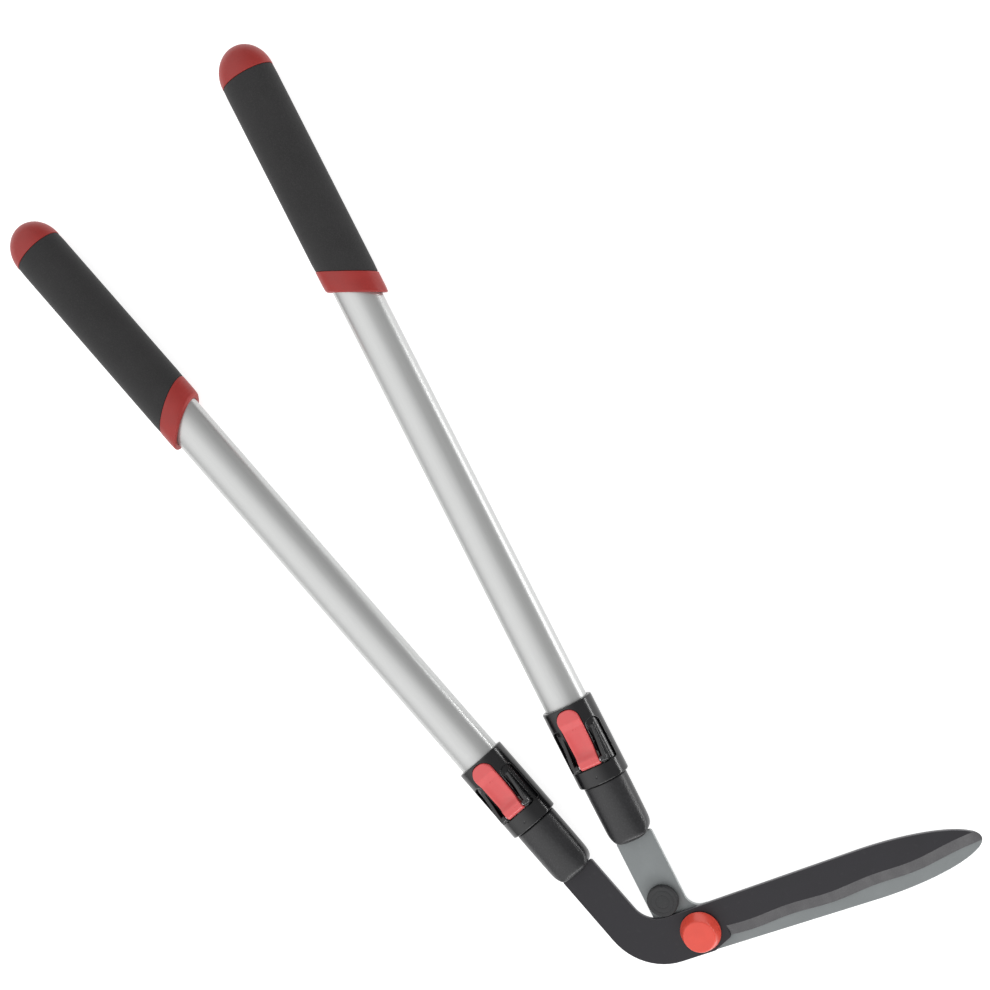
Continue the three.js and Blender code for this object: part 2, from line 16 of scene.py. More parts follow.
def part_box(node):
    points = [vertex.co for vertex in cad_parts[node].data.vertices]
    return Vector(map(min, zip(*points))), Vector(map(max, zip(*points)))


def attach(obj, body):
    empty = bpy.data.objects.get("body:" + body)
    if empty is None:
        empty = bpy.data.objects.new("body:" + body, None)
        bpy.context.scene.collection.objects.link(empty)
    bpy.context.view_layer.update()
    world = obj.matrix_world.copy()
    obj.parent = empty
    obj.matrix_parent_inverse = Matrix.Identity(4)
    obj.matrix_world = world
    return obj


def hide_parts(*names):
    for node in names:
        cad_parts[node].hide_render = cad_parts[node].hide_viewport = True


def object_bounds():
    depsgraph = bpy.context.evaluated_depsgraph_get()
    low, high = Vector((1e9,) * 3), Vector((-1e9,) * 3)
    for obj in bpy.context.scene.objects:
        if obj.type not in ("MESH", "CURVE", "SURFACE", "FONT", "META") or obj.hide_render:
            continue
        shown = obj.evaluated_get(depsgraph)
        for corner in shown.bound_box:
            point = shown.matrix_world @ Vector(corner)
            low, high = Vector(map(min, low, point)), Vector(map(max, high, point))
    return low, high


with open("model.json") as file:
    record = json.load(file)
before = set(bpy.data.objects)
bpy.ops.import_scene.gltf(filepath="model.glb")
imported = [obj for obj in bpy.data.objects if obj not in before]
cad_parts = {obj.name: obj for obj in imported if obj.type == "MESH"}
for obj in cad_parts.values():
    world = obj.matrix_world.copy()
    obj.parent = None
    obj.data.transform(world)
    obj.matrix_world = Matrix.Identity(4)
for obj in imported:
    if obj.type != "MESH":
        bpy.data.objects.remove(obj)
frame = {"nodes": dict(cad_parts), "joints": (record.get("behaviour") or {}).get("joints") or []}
cad_low, cad_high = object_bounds()

MM = 0.001
GAP = 0.3                    # running gap between pieces that touch
ROUND_SIDES = 96             # sides of a turned piece

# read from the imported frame
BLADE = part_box("front_blade")[1].x / MM + 0.1
SPINE = -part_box("rear_blade")[0].y / MM
BUMPER_CENTRE = (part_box("bumper")[0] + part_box("bumper")[1]) / 2 / MM

# camera: over the handles and a little to the right of them
CAMERA_PLACE = Vector((0.2882, 0.3954, 1.112))
CAMERA_TARGET = Vector((-0.0123, 0.3947, 0.0112))
CAMERA_ROLL = -113.81        # degrees
CAMERA_LENS = 50.38          # mm, as is the sensor
CAMERA_SENSOR = 36

# steel levers
ARM_HALF = 16.35             # half width of an arm
TANG_HALF = 13               # half width of the tang inside the socket
SHOULDER = 0.7               # the arm's shoulders, up the handle from its origin
TANG_TOP = 26
SPINE_AT_PIVOT = 20          # spine's distance from the centre line at the pivot
SPINE_END = 146              # where the spine turns into the quarter ellipse of the tip
EDGE = 11.75                 # cutting edge's mean distance beyond the centre line
EDGE_RISE = 10.1             # how far it draws back by the tip
RISE_POWER = 4
WAVE = 0.8                   # amplitude of the wavy edge
WAVE_LENGTH = 70
WAVE_CREST = 75
EDGE_START = 21.5            # where the ground band begins
BAND = 9.4                   # width of the ground band
EDGE_THICKNESS = 0.6
ROUNDING = 0.4               # radius along the plates' edges
PIVOT_HOLE = 5.9
STUD_HOLE = 3.3

# pivot and stop
BOLT_SHANK = 4               # radius
BOLT_CHAMFER = 0.6
KNOB_SHANK_HOLE = (4.3, 10.6)  # radius, and depth from the knob's base
KNOB_NUT_HOLE = (7.9, 9)
KNOB_RECESS = 1.4            # how far the knob's underside is hollowed
STOP_RECESS = (3.2, 1.6)     # radius of the stud's hole in the stop, and the rubber left above it

# handle sections as half width and half height, and stations along it from its origin
OUTER_TUBE = (19, 12.9)
INNER_TUBE = (17.2, 11.1)
TUBE_WALL = 1.4
INNER_WALL = 1.6
SOCKET = (19.55, 13.8)
CLAMP = (22.5, 17.6)
GRIP = (24.1, 17.6)
CORE_INSET = 2.3
SOCKET_FOOT = -1.7
SOCKET_TOP = 53.5            # as close below the clamp as it runs
SLOT_HALF = 2.1              # half height of the socket's slot for the tang
SOCKET_PIN_STATION = 41
SOCKET_PIN_HOLE = (2.3, 3)   # radius, and how far below the axis it ends
INNER_START = 31
INNER_END = 474
CLAMP_START = 54
CLAMP_LENGTH = 69.2
TUBE_STOP = 30.5             # where the outer tube starts inside the clamp
OUTER_START = CLAMP_START + TUBE_STOP
COLLAR_START = CLAMP_START + 451.8
COLLAR_END = CLAMP_START + 471.3
CAP_START = CLAMP_START + 654
CAP_LENGTH = 27.7
OUTER_END = CAP_START + 1
COLLAR_SLANT = 0.52          # drop towards the head per unit outwards

# clamp, from its lower end
RING = 14.9                  # plain ring below the lever
PIN_STATION = 19.2
PIN_HEIGHT = 16.7            # above the handle's axis
PIN_RADIUS = 1.5
PIN_HALF = 15.4
LEVER_HALF = 9.7
LEVER_STEP = 53              # where the raised thumb tab begins
LEVER_END = 67.2
CHANNEL_FLOOR = 14.6
PAD_END = 26
PAD_FOOT = 5                 # the pad's window reaches down to here
HUB_RADIUS = 3.7
HUB_HALF = 8.7               # the lever is narrower at its hub
LEVER_FOOT = 12              # the lever's profile starts below its channel's floor
LEVER_FACE = 17.2            # height of the face where it meets the thumb tab
LEVER_TAB = 19.4             # height of the thumb tab
LEVER_DISH = 0.9             # depth of the hollow across its face
HUB_OFFSET = 0.14            # the hub is eccentric, and lifts the pad as the lever opens
EAR = (12.6, 15.8)           # the ears that carry the pin
EAR_FOOT = 8
EAR_END = 47.5
BOSS_RADIUS = 2.9            # round the pin, between an ear and the lever
BOSS_INNER = 8               # how near the middle a boss starts
POCKET = (11.1, 20.3)        # the hollows beside the lever
POCKET_END = 52
POCKET_WALL = 1.7            # left between a pocket and the tube
RIVET_STATION = 50
RIVET_RECESS = (3.8, 15.7)   # radius, and how far below the axis its floor is
DIMPLE_STATION = 6.2
DIMPLE_RADIUS = 1.1
DIMPLE_LIFT = 0.5            # of the dimple's centre above the ring

# softening of the small pieces kept from the CAD
WELD_DISTANCE = 0.01
SOFT_EDGE = 0.25

# studio, in metres and watts: place from the object's middle, (width, height), power
SOFTBOXES = {
    "right_strip": ((1.5, -0.25, 0.15), (1.5, 0.12), 7.5),
    "front_softbox": ((0.2, -1.9, 0.8), (1.6, 0.5), 12),
}
WORLD_ACROSS = (-0.45, 0.5)  # the world darkens between these directions, left to right
WORLD_SIDES = (1.4, 0.45)    # its strength on the left and on the right
WORLD_RISE = 0.6             # it is at full strength from here up
WORLD_HORIZON = 0.3          # share of the strength at the horizon
FLOOR_HALF = 6.0
FLOOR_GLOW = 0.85            # keeps the floor white under the object


# ---------- outlines ----------
def rounded(corners, steps=8, closed=True):
    """Points along an outline. A corner is (x, y), or (x, y, radius) for an arc touching both sides."""
    points = []
    for index, corner in enumerate(corners):
        place = Vector(corner[:2])
        radius = corner[2] if len(corner) == 3 else 0
        if radius == 0 or (not closed and index in (0, len(corners) - 1)):
            points.append(tuple(place))
            continue
        before = Vector(corners[index - 1][:2])
        after = Vector(corners[(index + 1) % len(corners)][:2])
        arriving = (place - before).normalized()
        leaving = (after - place).normalized()
        turn = math.atan2(arriving.cross(leaving), arriving.dot(leaving))
        start = place - arriving * radius * math.tan(abs(turn) / 2)
        side = math.copysign(1, turn)
        centre = start + Vector((-arriving.y, arriving.x)) * side * radius
        from_centre = start - centre
        for step in range(steps + 1):
            spoke = from_centre.copy()
            spoke.rotate(Matrix.Rotation(turn * step / steps, 2))
            points.append(tuple(centre + spoke))
    return points


def cutting_edge(x):
    """Height of the front blade's wavy edge at x, drawn back more and more towards the tip."""
    rise = EDGE_RISE * (x / BLADE) ** RISE_POWER
    return rise - EDGE + WAVE * math.cos(2 * math.pi * (x - WAVE_CREST) / WAVE_LENGTH)


def inset(points, amounts):
    """The same points moved inwards, each by its own amount."""
    count = len(points)
    area = sum(
        points[i - 1][0] * points[i][1] - points[i][0] * points[i - 1][1] for i in range(count)
    )
    inward = math.copysign(1, area)
    moved = []
    for i, (x, y) in enumerate(points):
        before = Vector(points[i]) - Vector(points[i - 1])
        after = Vector(points[(i + 1) % count]) - Vector(points[i])
        before.normalize()
        after.normalize()
        middle = (before + after).normalized()
        normal = Vector((-middle.y, middle.x)) * inward
        reach = amounts[i] / max(0.5, middle.dot(after))
        moved.append((x + normal.x * reach, y + normal.y * reach))
    return moved


# ---------- pieces ----------
def add_piece(name, shape, looks, body, slot, nodes, place=None, crease=33):
    """One Blender object from (vertices in mm, faces, material index of each face, vertex normals)."""
    vertices, faces, indices, *normals = shape
    mesh = bpy.data.meshes.new(name)
    mesh.from_pydata((np.asarray(vertices, float) * MM).tolist(), [], faces)
    for look in looks:
        mesh.materials.append(look)
    if indices is not None:
        mesh.polygons.foreach_set("material_index", indices)
    if crease:
        tidy = bmesh.new()
        tidy.from_mesh(mesh)
        bmesh.ops.remove_doubles(tidy, verts=tidy.verts, dist=2e-7)
        bmesh.ops.dissolve_degenerate(tidy, edges=tidy.edges, dist=1e-7)
        bmesh.ops.recalc_face_normals(tidy, faces=tidy.faces)
        for edge in tidy.edges:
            two = len(edge.link_faces) == 2
            band = two and edge.link_faces[0].material_index != edge.link_faces[1].material_index
            edge.smooth = two and not band and edge.calc_face_angle() < math.radians(crease)
        tidy.to_mesh(mesh)
        tidy.free()
    mesh.polygons.foreach_set("use_smooth", [True] * len(mesh.polygons))
    if normals:
        mesh.normals_split_custom_set_from_vertices(normals[0].tolist())
    piece = bpy.data.objects.new(name, mesh)
    bpy.context.scene.collection.objects.link(piece)
    if place is not None:
        piece.matrix_world = place
    if crease:
        even = piece.modifiers.new("even_normals", "WEIGHTED_NORMAL")
        even.keep_sharp = True
    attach(piece, body)
    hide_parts(*nodes)
    return piece


def skin(rings, closed=False):
    """Faces over rings of points. An open skin has a flat cap on each end."""
    sides = len(rings[0])
    vertices = [tuple(point) for ring in rings for point in ring]
    faces = []
    last = len(rings) if closed else len(rings) - 1
    for r in range(last):
        here = r * sides
        there = ((r + 1) % len(rings)) * sides
        for i in range(sides):
            j = (i + 1) % sides
            faces.append((here + i, here + j, there + j, there + i))
    if not closed:
        faces.append(tuple(range(sides))[::-1])
        faces.append(tuple(range((len(rings) - 1) * sides, len(rings) * sides)))
    return vertices, faces, None


def oval_rings(profile, slant=None, sides=112):
    """A ring for each (half width, half height, station); slant(station) is its lean across."""
    angles = np.linspace(0, 2 * math.pi, sides, endpoint=False)
    rings = []
    for half_width, half_height, station in profile:
        x = half_width * np.cos(angles)
        y = half_height * np.sin(angles)
        lean = slant(station) if slant else 0
        rings.append(np.stack([x, y, station + lean * x], axis=-1))
    return rings


def along_section(section, corners, steps=5, closed=True):
    """A profile from corners given as (depth inside the section, station, radius)."""
    return [
        (section[0] - depth, section[1] - depth, station)
        for depth, station in rounded(corners, steps, closed)
    ]


def turned(corners, steps=6):
    """A round piece from its outline as (radius, height, rounding), from axis to axis."""
    profile = [(max(r, 0.05), max(r, 0.05), z) for r, z in rounded(corners, steps, closed=False)]
    return skin(oval_rings(profile, sides=ROUND_SIDES))


# ---------- solids given by their distance ----------
def oval_distance(x, y, section, grow=0.0):
    """About how far a point is outside an ellipse, and below 0 inside it."""
    a, b = section[0] + grow, section[1] + grow
    reach = np.sqrt((x / a) ** 2 + (y / b) ** 2)
    slope = np.sqrt((x / a**2) ** 2 + (y / b**2) ** 2)
    return reach * (reach - 1) / np.maximum(slope, 1e-6)


def polygon_distance(x, y, corners):
    """How far a point is outside a polygon, and below 0 inside it."""
    nearest = np.full(np.broadcast(x, y).shape, np.inf)
    outside = np.ones(nearest.shape)
    for (ax, ay), (bx, by) in zip(corners, corners[1:] + corners[:1]):
        ex, ey = bx - ax, by - ay
        wx, wy = x - ax, y - ay
        share = np.clip((wx * ex + wy * ey) / (ex * ex + ey * ey), 0, 1)
        nearest = np.minimum(nearest, (wx - ex * share) ** 2 + (wy - ey * share) ** 2)
        above, below, left = y >= ay, y < by, ex * wy > ey * wx
        outside = np.where((above & below & left) | ~(above | below | left), -outside, outside)
    return outside * np.sqrt(nearest)


def between(value, low, high):
    return np.abs(value - (low + high) / 2) - (high - low) / 2


def eased(value):
    """Rise from 0 to 1 with no corner at either end."""
    share = np.clip(value, 0, 1)
    return share * share * (3 - 2 * share)


def both(a, b, radius=0.5):
    """Where both solids are, with their shared edge rounded."""
    near = np.maximum(radius - np.abs(a - b), 0)
    return np.maximum(a, b) + near * near / (4 * radius)


def either(a, b, radius=0.5):
    return -both(-a, -b, radius)


def without(a, b, radius=0.5):
    return both(a, -b, radius)


def net(distance, low, high, cell):
    """Quads over the surface where distance(x, y, z) is 0, one vertex in each cell it crosses."""
    x, y, z = (np.arange(a - cell, b + 2 * cell, cell) for a, b in zip(low, high))
    inside = distance(x[:, None, None], y[None, :, None], z[None, None, :]) < 0
    count = np.zeros(tuple(n - 1 for n in inside.shape), int)
    for corner in np.ndindex(2, 2, 2):
        count += inside[tuple(slice(c, c - 1 or None) for c in corner)]
    crossed = (count > 0) & (count < 8)
    index = np.full(crossed.shape, -1)
    index[crossed] = np.arange(crossed.sum())
    points = (np.argwhere(crossed) + 0.5) * cell + np.array([x[0], y[0], z[0]])
    quads = []
    for axis in range(3):
        along = np.eye(3, dtype=int)[axis]
        across, over = np.roll(along, 1), np.roll(along, 2)
        first = inside[tuple(slice(None, -1) if a else slice(None) for a in along)]
        second = inside[tuple(slice(1, None) if a else slice(None) for a in along)]
        starts = np.argwhere(first != second)
        around = [starts, starts - across, starts - across - over, starts - over]
        quad = np.stack([index[tuple(place.T)] for place in around], axis=-1)
        leaving = first[tuple(starts.T)]
        quads.append(np.where(leaving[:, None], quad, quad[:, ::-1]))
    quads = np.concatenate(quads)
    ends = np.concatenate([quads[:, [i, (i + 1) % 4]] for i in range(4)])
    for _ in range(3):
        points = settle(points, distance)
        total = np.zeros_like(points)
        joined = np.bincount(ends[:, 0], minlength=len(points))[:, None]
        for i in range(3):
            total[:, i] = np.bincount(ends[:, 0], points[ends[:, 1], i], len(points))
        points = points * 0.5 + total / joined * 0.5
    points = settle(points, distance)
    slope = slope_at(points, distance)
    normals = slope / np.maximum(np.linalg.norm(slope, axis=-1, keepdims=True), 1e-6)
    return points, quads.tolist(), None, normals


def slope_at(points, distance, step=0.05):
    """How fast the distance grows along each axis."""
    return np.stack([
        (distance(*(points + move).T) - distance(*(points - move).T)) / (2 * step)
        for move in np.eye(3) * step
    ], axis=-1)


def settle(points, distance):
    """Moves the points onto the surface."""
    for _ in range(3):
        slope = slope_at(points, distance)
        size = np.maximum((slope**2).sum(axis=-1), 0.05)
        points = points - slope * np.clip(distance(*points.T) / size, -1, 1)[:, None]
    return points


# ---------- materials ----------
class Look:
    """A node material being built: a Principled shader and the noises that drive it."""

    def __init__(self, name, color, roughness, metallic=0.0, stretch=(1, 1, 1), specular=0.5, sheen=0.0):
        self.material = bpy.data.materials.new(name)
        self.material.use_nodes = True
        self.tree = self.material.node_tree
        self.shader = self.tree.nodes["Principled BSDF"]
        self.shader.inputs["Metallic"].default_value = metallic
        self.shader.inputs["Specular IOR Level"].default_value = specular
        self.shader.inputs["Sheen Weight"].default_value = sheen
        self.color = color
        self.roughness = roughness
        self.mapping = self.node("ShaderNodeMapping")
        self.mapping.inputs["Scale"].default_value = stretch
        coordinates = self.node("ShaderNodeTexCoord")
        self.link(coordinates.outputs["Object"], self.mapping.inputs["Vector"])
        self.material.diffuse_color = (*color, 1)

    def node(self, kind):
        return self.tree.nodes.new(kind)

    def link(self, start, end):
        self.tree.links.new(start, end)

    def noise(self, grain, detail=3.0, stretched=True):
        """Noise whose patches are about grain millimetres across."""
        noise = self.node("ShaderNodeTexNoise")
        noise.inputs["Scale"].default_value = 1000 / grain
        noise.inputs["Detail"].default_value = detail
        if stretched:
            self.link(self.mapping.outputs["Vector"], noise.inputs["Vector"])
        else:
            coordinates = self.node("ShaderNodeTexCoord")
            self.link(coordinates.outputs["Object"], noise.inputs["Vector"])
        return noise.outputs["Fac"]

    def spread(self, value, low, high, edges=(0.3, 0.7)):
        """The noise value between edges, mapped to low and high."""
        spread = self.node("ShaderNodeMapRange")
        spread.inputs["From Min"].default_value = edges[0]
        spread.inputs["From Max"].default_value = edges[1]
        spread.inputs["To Min"].default_value = low
        spread.inputs["To Max"].default_value = high
        self.link(value, spread.inputs["Value"])
        return spread.outputs["Result"]

    def mix(self, amount, first, second):
        mix = self.node("ShaderNodeMix")
        mix.data_type = "RGBA"
        self.link(amount, mix.inputs["Factor"])
        for socket, value in (("A", first), ("B", second)):
            target = next(i for i in mix.inputs if i.name == socket and i.type == "RGBA")
            if isinstance(value, bpy.types.NodeSocket):
                self.link(value, target)
            else:
                target.default_value = (*value, 1)
        return next(o for o in mix.outputs if o.type == "RGBA")

    def build(self, patch, shade, grain, grain_shade, height, gloss, wear=None, wear_color=None):
        """patch and grain are noise sizes in mm; shade, grain_shade and gloss are relative amounts."""
        broad = self.noise(patch)
        fine = self.noise(grain, 2.0)
        light = tuple(min(1, c * (1 + shade)) for c in self.color)
        dark = tuple(c * (1 - shade) for c in self.color)
        color = self.mix(self.spread(broad, 0, 1), dark, light)
        speck = tuple(min(1, c * (1 + grain_shade) + 0.01 * grain_shade) for c in self.color)
        color = self.mix(self.spread(fine, 0, 0.6, (0.45, 0.75)), color, speck)
        roughness = self.spread(broad, self.roughness * (1 - gloss), self.roughness * (1 + gloss))
        if wear:
            scuff = self.spread(self.noise(wear, 5.0, stretched=False), 0, 0.3, (0.6, 0.78))
            color = self.mix(scuff, color, wear_color)
        self.link(color, self.shader.inputs["Base Color"])
        self.link(roughness, self.shader.inputs["Roughness"])
        bump = self.node("ShaderNodeBump")
        bump.inputs["Distance"].default_value = height * MM
        bump.inputs["Strength"].default_value = 0.8
        self.link(fine, bump.inputs["Height"])
        self.link(bump.outputs["Normal"], self.shader.inputs["Normal"])
        return self.material


def make_looks():
    lengthwise = (1, 1, 0.02)
    across_band = (1, 0.06, 1)
    return {
        "black": Look("black_coat", (0.0175, 0.0165, 0.0205), 0.5, specular=0.34).build(
            18, 0.1, 0.35, 0.35, 0.02, 0.12, 5, (0.045, 0.043, 0.048)
        ),
        "black_ground": Look(
            "black_ground", (0.036, 0.034, 0.038), 0.44, stretch=across_band
        ).build(9, 0.12, 0.5, 0.5, 0.02, 0.15, 6, (0.07, 0.067, 0.072)),
        # painted highlight: the rim colour is lighter than the black coat and stands in for the bright line
        # along the plate's rounded edges
        "black_rim_highlight": Look("black_rim_painted_highlight", (0.07, 0.068, 0.075), 0.36, 0.3).build(
            6, 0.15, 0.4, 0.4, 0.02, 0.15, 4, (0.16, 0.155, 0.16)
        ),
        "grey": Look("grey_coat", (0.196, 0.212, 0.215), 0.46, specular=0.5).build(
            22, 0.06, 0.35, 0.12, 0.015, 0.1, 6, (0.25, 0.27, 0.27)
        ),
        "grey_ground": Look(
            "grey_ground", (0.225, 0.24, 0.245), 0.4, stretch=across_band
        ).build(9, 0.08, 0.5, 0.15, 0.02, 0.15, 6, (0.36, 0.36, 0.36)),
        # painted highlight: the rim colour is lighter than the grey coat and stands in for the bright line
        # along the plate's rounded edges
        "grey_rim_highlight": Look("grey_rim_painted_highlight", (0.33, 0.35, 0.35), 0.34, 0.4).build(
            6, 0.1, 0.4, 0.2, 0.02, 0.15, 4, (0.5, 0.5, 0.5)
        ),
        "tube": Look("anodised_tube", (0.54, 0.545, 0.54), 0.34, 0.75, lengthwise).build(
            6, 0.04, 0.25, 0.06, 0.006, 0.12, 14, (0.6, 0.6, 0.6)
        ),
        "steel": Look("bright_steel", (0.5, 0.5, 0.51), 0.3, 1.0).build(
            5, 0.12, 0.3, 0.15, 0.01, 0.2, 3, (0.3, 0.3, 0.31)
        ),
        "bronze": Look("bronze", (0.4, 0.25, 0.1), 0.4, 1.0).build(
            4, 0.15, 0.3, 0.15, 0.01, 0.2, 3, (0.2, 0.13, 0.06)
        ),
        "clamp": Look("clamp_plastic", (0.004, 0.004, 0.005), 0.21, specular=0.6).build(
            14, 0.15, 0.6, 0.2, 0.0015, 0.15, 7, (0.008, 0.008, 0.009)
        ),
        "socket": Look("socket_plastic", (0.007, 0.007, 0.0085), 0.34, specular=0.62).build(
            16, 0.15, 1.5, 1.0, 0.2, 0.1, 6, (0.014, 0.014, 0.016)
        ),
        "grip": Look(
            "grip_rubber", (0.026, 0.0255, 0.026), 0.8, specular=0.3, sheen=0.1
        ).build(26, 0.16, 0.9, 0.5, 0.06, 0.06, 9, (0.036, 0.036, 0.036)),
        "bumper": Look("stop_rubber", (0.026, 0.0265, 0.028), 0.6, specular=0.4).build(
            5, 0.15, 0.4, 0.6, 0.03, 0.1, 3, (0.05, 0.05, 0.05)
        ),
        "lever": Look("lever_red", (0.7, 0.088, 0.09), 0.3, specular=0.6).build(
            12, 0.05, 0.5, 0.06, 0.012, 0.12, 7, (0.7, 0.14, 0.13)
        ),
        "grip_red": Look("grip_red", (0.33, 0.026, 0.022), 0.44, specular=0.4).build(
            18, 0.08, 0.6, 0.12, 0.02, 0.12, 8, (0.38, 0.045, 0.038)
        ),
        "knob": Look("knob_red", (0.74, 0.074, 0.048), 0.3, specular=0.5).build(
            12, 0.05, 0.5, 0.06, 0.015, 0.12, 6, (0.76, 0.13, 0.1)
        ),
        "nylon": Look("white_nylon", (0.6, 0.59, 0.54), 0.5).build(
            8, 0.05, 0.5, 0.06, 0.02, 0.1, 5, (0.5, 0.48, 0.43)
        ),
    }


# ---------- steel levers ----------
def handle_place(name):
    """Where a handle's own axes lie, from its telescope's axis and its lever's pin."""
    joint = next(j for j in frame["joints"] if j["name"] == f"{name}_telescope")
    up = Vector((0, 0, 1))
    along = Vector(joint["axis"])
    low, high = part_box(f"{name}_lever_pin")
    station = (CLAMP_START + PIN_STATION) * MM
    apex = (low + high) / 2 - along * station - up * PIN_HEIGHT * MM
    turn = Matrix((up.cross(along), up, along)).transposed()
    return Matrix.Translation(apex) @ turn.to_4x4()


def on_handle(place, along, across):
    """A point of a handle's plan, in mm, given how far along it and how far to its right."""
    point = place @ (Vector((-across, 0, along)) * MM) / MM
    return point.x, point.y


def arm_meets(place, across, height, slope=0.0):
    """Where the line along one side of an arm meets the line y = height + slope * x."""
    x, y = on_handle(place, 0, across)
    far_x, far_y = on_handle(place, 1, across)
    along = (height + slope * x - y) / (far_y - y - slope * (far_x - x))
    return x + along * (far_x - x), y + along * (far_y - y)


def tang_side(place, side):
    """One side of the tang and its shoulder, from the tang's top down."""
    return [
        on_handle(place, TANG_TOP, side * TANG_HALF),
        on_handle(place, SHOULDER, side * TANG_HALF),
        (*on_handle(place, SHOULDER, side * ARM_HALF), 2),
    ]


def tip_point(degrees):
    """A point of the tip's quarter ellipse, from the point of the blade round to its spine."""
    angle = math.radians(degrees)
    return SPINE_END + (BLADE - SPINE_END) * math.cos(angle), SPINE * math.sin(angle)


def edge_and_crest():
    """The wavy edge from the band's start round to where the band's crest meets the tip, and the crest."""
    meeting = next(
        d for d in np.arange(10, 60, 0.5) if tip_point(d)[1] > cutting_edge(tip_point(d)[0]) + BAND
    )
    stations = np.arange(EDGE_START, tip_point(meeting)[0] - 1, 2)
    edge = [(x, cutting_edge(x)) for x in stations]
    crest = [(x, y + BAND) for x, y in edge]
    edge += [(x, cutting_edge(x)) for x in np.linspace(stations[-1] + 2, BLADE - 0.8, 4)]
    edge += [tip_point(d) for d in np.arange(0, meeting, 4)]
    return edge, crest, meeting


def plate(before, after, inner, outer, mirror, holes):
    """A steel plate with a ground band. inner and outer are the heights of its flat and its ground face."""
    edge, crest, meeting = edge_and_crest()
    tip = [tip_point(d) for d in np.arange(meeting, 87, 3)]
    edge, crest, tip = (
        [(x, mirror * y) for x, y in points] for points in (edge, crest, tip)
    )
    before = rounded([*before, edge[0]], 12, closed=False)[:-1]
    after = tip + rounded([tip[-1], *after], 12, closed=False)[1:]
    chain = after + before + [edge[0]]
    thickness = abs(outer - inner)
    way = math.copysign(1, outer - inner)
    vertices, faces, indices = [], [], []

    def add(points, heights):
        first = len(vertices)
        heights = np.broadcast_to(heights, len(points))
        vertices.extend((x, y, z) for (x, y), z in zip(points, heights))
        return list(range(first, first + len(points)))

    def strip(one, other, look=0):
        for i in range(len(one) - 1):
            faces.append((one[i], one[i + 1], other[i + 1], other[i]))
            indices.append(look)

    def face(loop, height, hole_loops):
        loops = [[Vector((*p, 0)) for p in loop]] + [[Vector((*p, 0)) for p in h] for h in hole_loops]
        flat = add([tuple(v[:2]) for part in loops for v in part], height)
        for triangle in tessellate_polygon(loops):
            faces.append(tuple(flat[i] for i in triangle))
            indices.append(0)

    # the rim: rounded on both faces, except along the ground band and at its two ends
    keep = [0] + [1] * (len(chain) - 2) + [0]
    bottom_loop = chain[:-1] + edge
    top_loop = chain + crest
    steps = 3
    rows = []
    for top in (True, False):
        loop = top_loop if top else bottom_loop
        rest = len(loop) - len(chain)
        for step in range(steps + 1):
            angle = math.pi / 2 * step / steps
            share = [k * ROUNDING * (1 - math.sin(angle)) for k in keep] + [0] * rest
            depth = np.array(keep) * ROUNDING * (1 - math.cos(angle))
            moved = inset(loop, share)[:len(chain)]
            if step == 0:
                face(moved + loop[len(chain):], outer if top else inner, holes)
            rows.append(add(moved, outer - way * depth if top else inner + way * depth))
    upper, lower = rows[:steps + 1], rows[steps + 1:]
    # the rim rows take the third look, whose lighter colour is a painted highlight along the plate's edges
    for row, following in zip(upper[:-1] + lower[:-1], upper[1:] + lower[1:]):
        strip(row, following, 2)
    strip(upper[-1], lower[-1], 2)

    # the ground band, its thin edge and the step where it starts
    reach = [
        min(1.0, min(math.dist(p, c) for c in [*crest, tip[0]]) / BAND) for p in edge
    ]
    reach = [1.0] * len(crest) + reach[len(crest):]
    lifted = inner + way * (thickness - (thickness - EDGE_THICKNESS) * np.array(reach))
    raised = add(edge + [tip[0]], [*lifted, outer])
    ground = add(crest + [tip[0]] * (len(edge) + 1 - len(crest)), outer)
    strip(raised, ground, 1)
    strip(add(edge + [tip[0]], inner), raised)
    faces.append((add([edge[0]], outer)[0], raised[0], ground[0]))
    indices.append(0)
    for hole in holes:
        ring = hole + [hole[0]]
        strip(add(ring, inner), add(ring, outer))
    return vertices, faces, indices


def circle(x, y, radius, sides=40):
    angles = np.linspace(0, 2 * math.pi, sides, endpoint=False)
    return [(x + radius * math.cos(a), y + radius * math.sin(a)) for a in angles]


def build_levers():
    slope = (SPINE - SPINE_AT_PIVOT) / SPINE_END
    low, high = (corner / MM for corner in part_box("front_blade"))
    heel = -low.y
    front = handle_place("front")
    before = [
        *tang_side(front, -1),
        (*arm_meets(front, -ARM_HALF, -heel), 50),
        (5, -heel, 6),
        (20.5, -EDGE - 1.1, 1.5),
    ]
    after = [
        (SPINE_END, SPINE),
        (*arm_meets(front, ARM_HALF, SPINE_AT_PIVOT, slope), 22),
        *tang_side(front, 1)[::-1],
    ]
    pivot = circle(0, 0, PIVOT_HOLE)
    shape = plate(before, after, low.z, high.z, 1, [pivot])
    looks = [LOOKS["black"], LOOKS["black_ground"], LOOKS["black_rim_highlight"]]
    add_piece("front_lever_plate", shape, looks, "front_lever", "black_coating", ["front_blade"])

    low, high = (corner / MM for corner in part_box("rear_blade"))
    rear = handle_place("rear")
    before = [
        *tang_side(rear, 1),
        (*arm_meets(rear, ARM_HALF, heel), 12),
        (13, heel, 1),
        (20.5, EDGE + 1.1, 1.5),
    ]
    after = [
        (SPINE_END, -SPINE),
        (*arm_meets(rear, -ARM_HALF, -SPINE_AT_PIVOT, -slope), 28),
        *tang_side(rear, -1)[::-1],
    ]
    stud = circle(*BUMPER_CENTRE[:2], STUD_HOLE)
    shape = plate(before, after, high.z, low.z, -1, [pivot, stud])
    looks = [LOOKS["grey"], LOOKS["grey_ground"], LOOKS["grey_rim_highlight"]]
    add_piece("rear_lever_plate", shape, looks, "rear_lever", "grey_coating", ["rear_blade"])


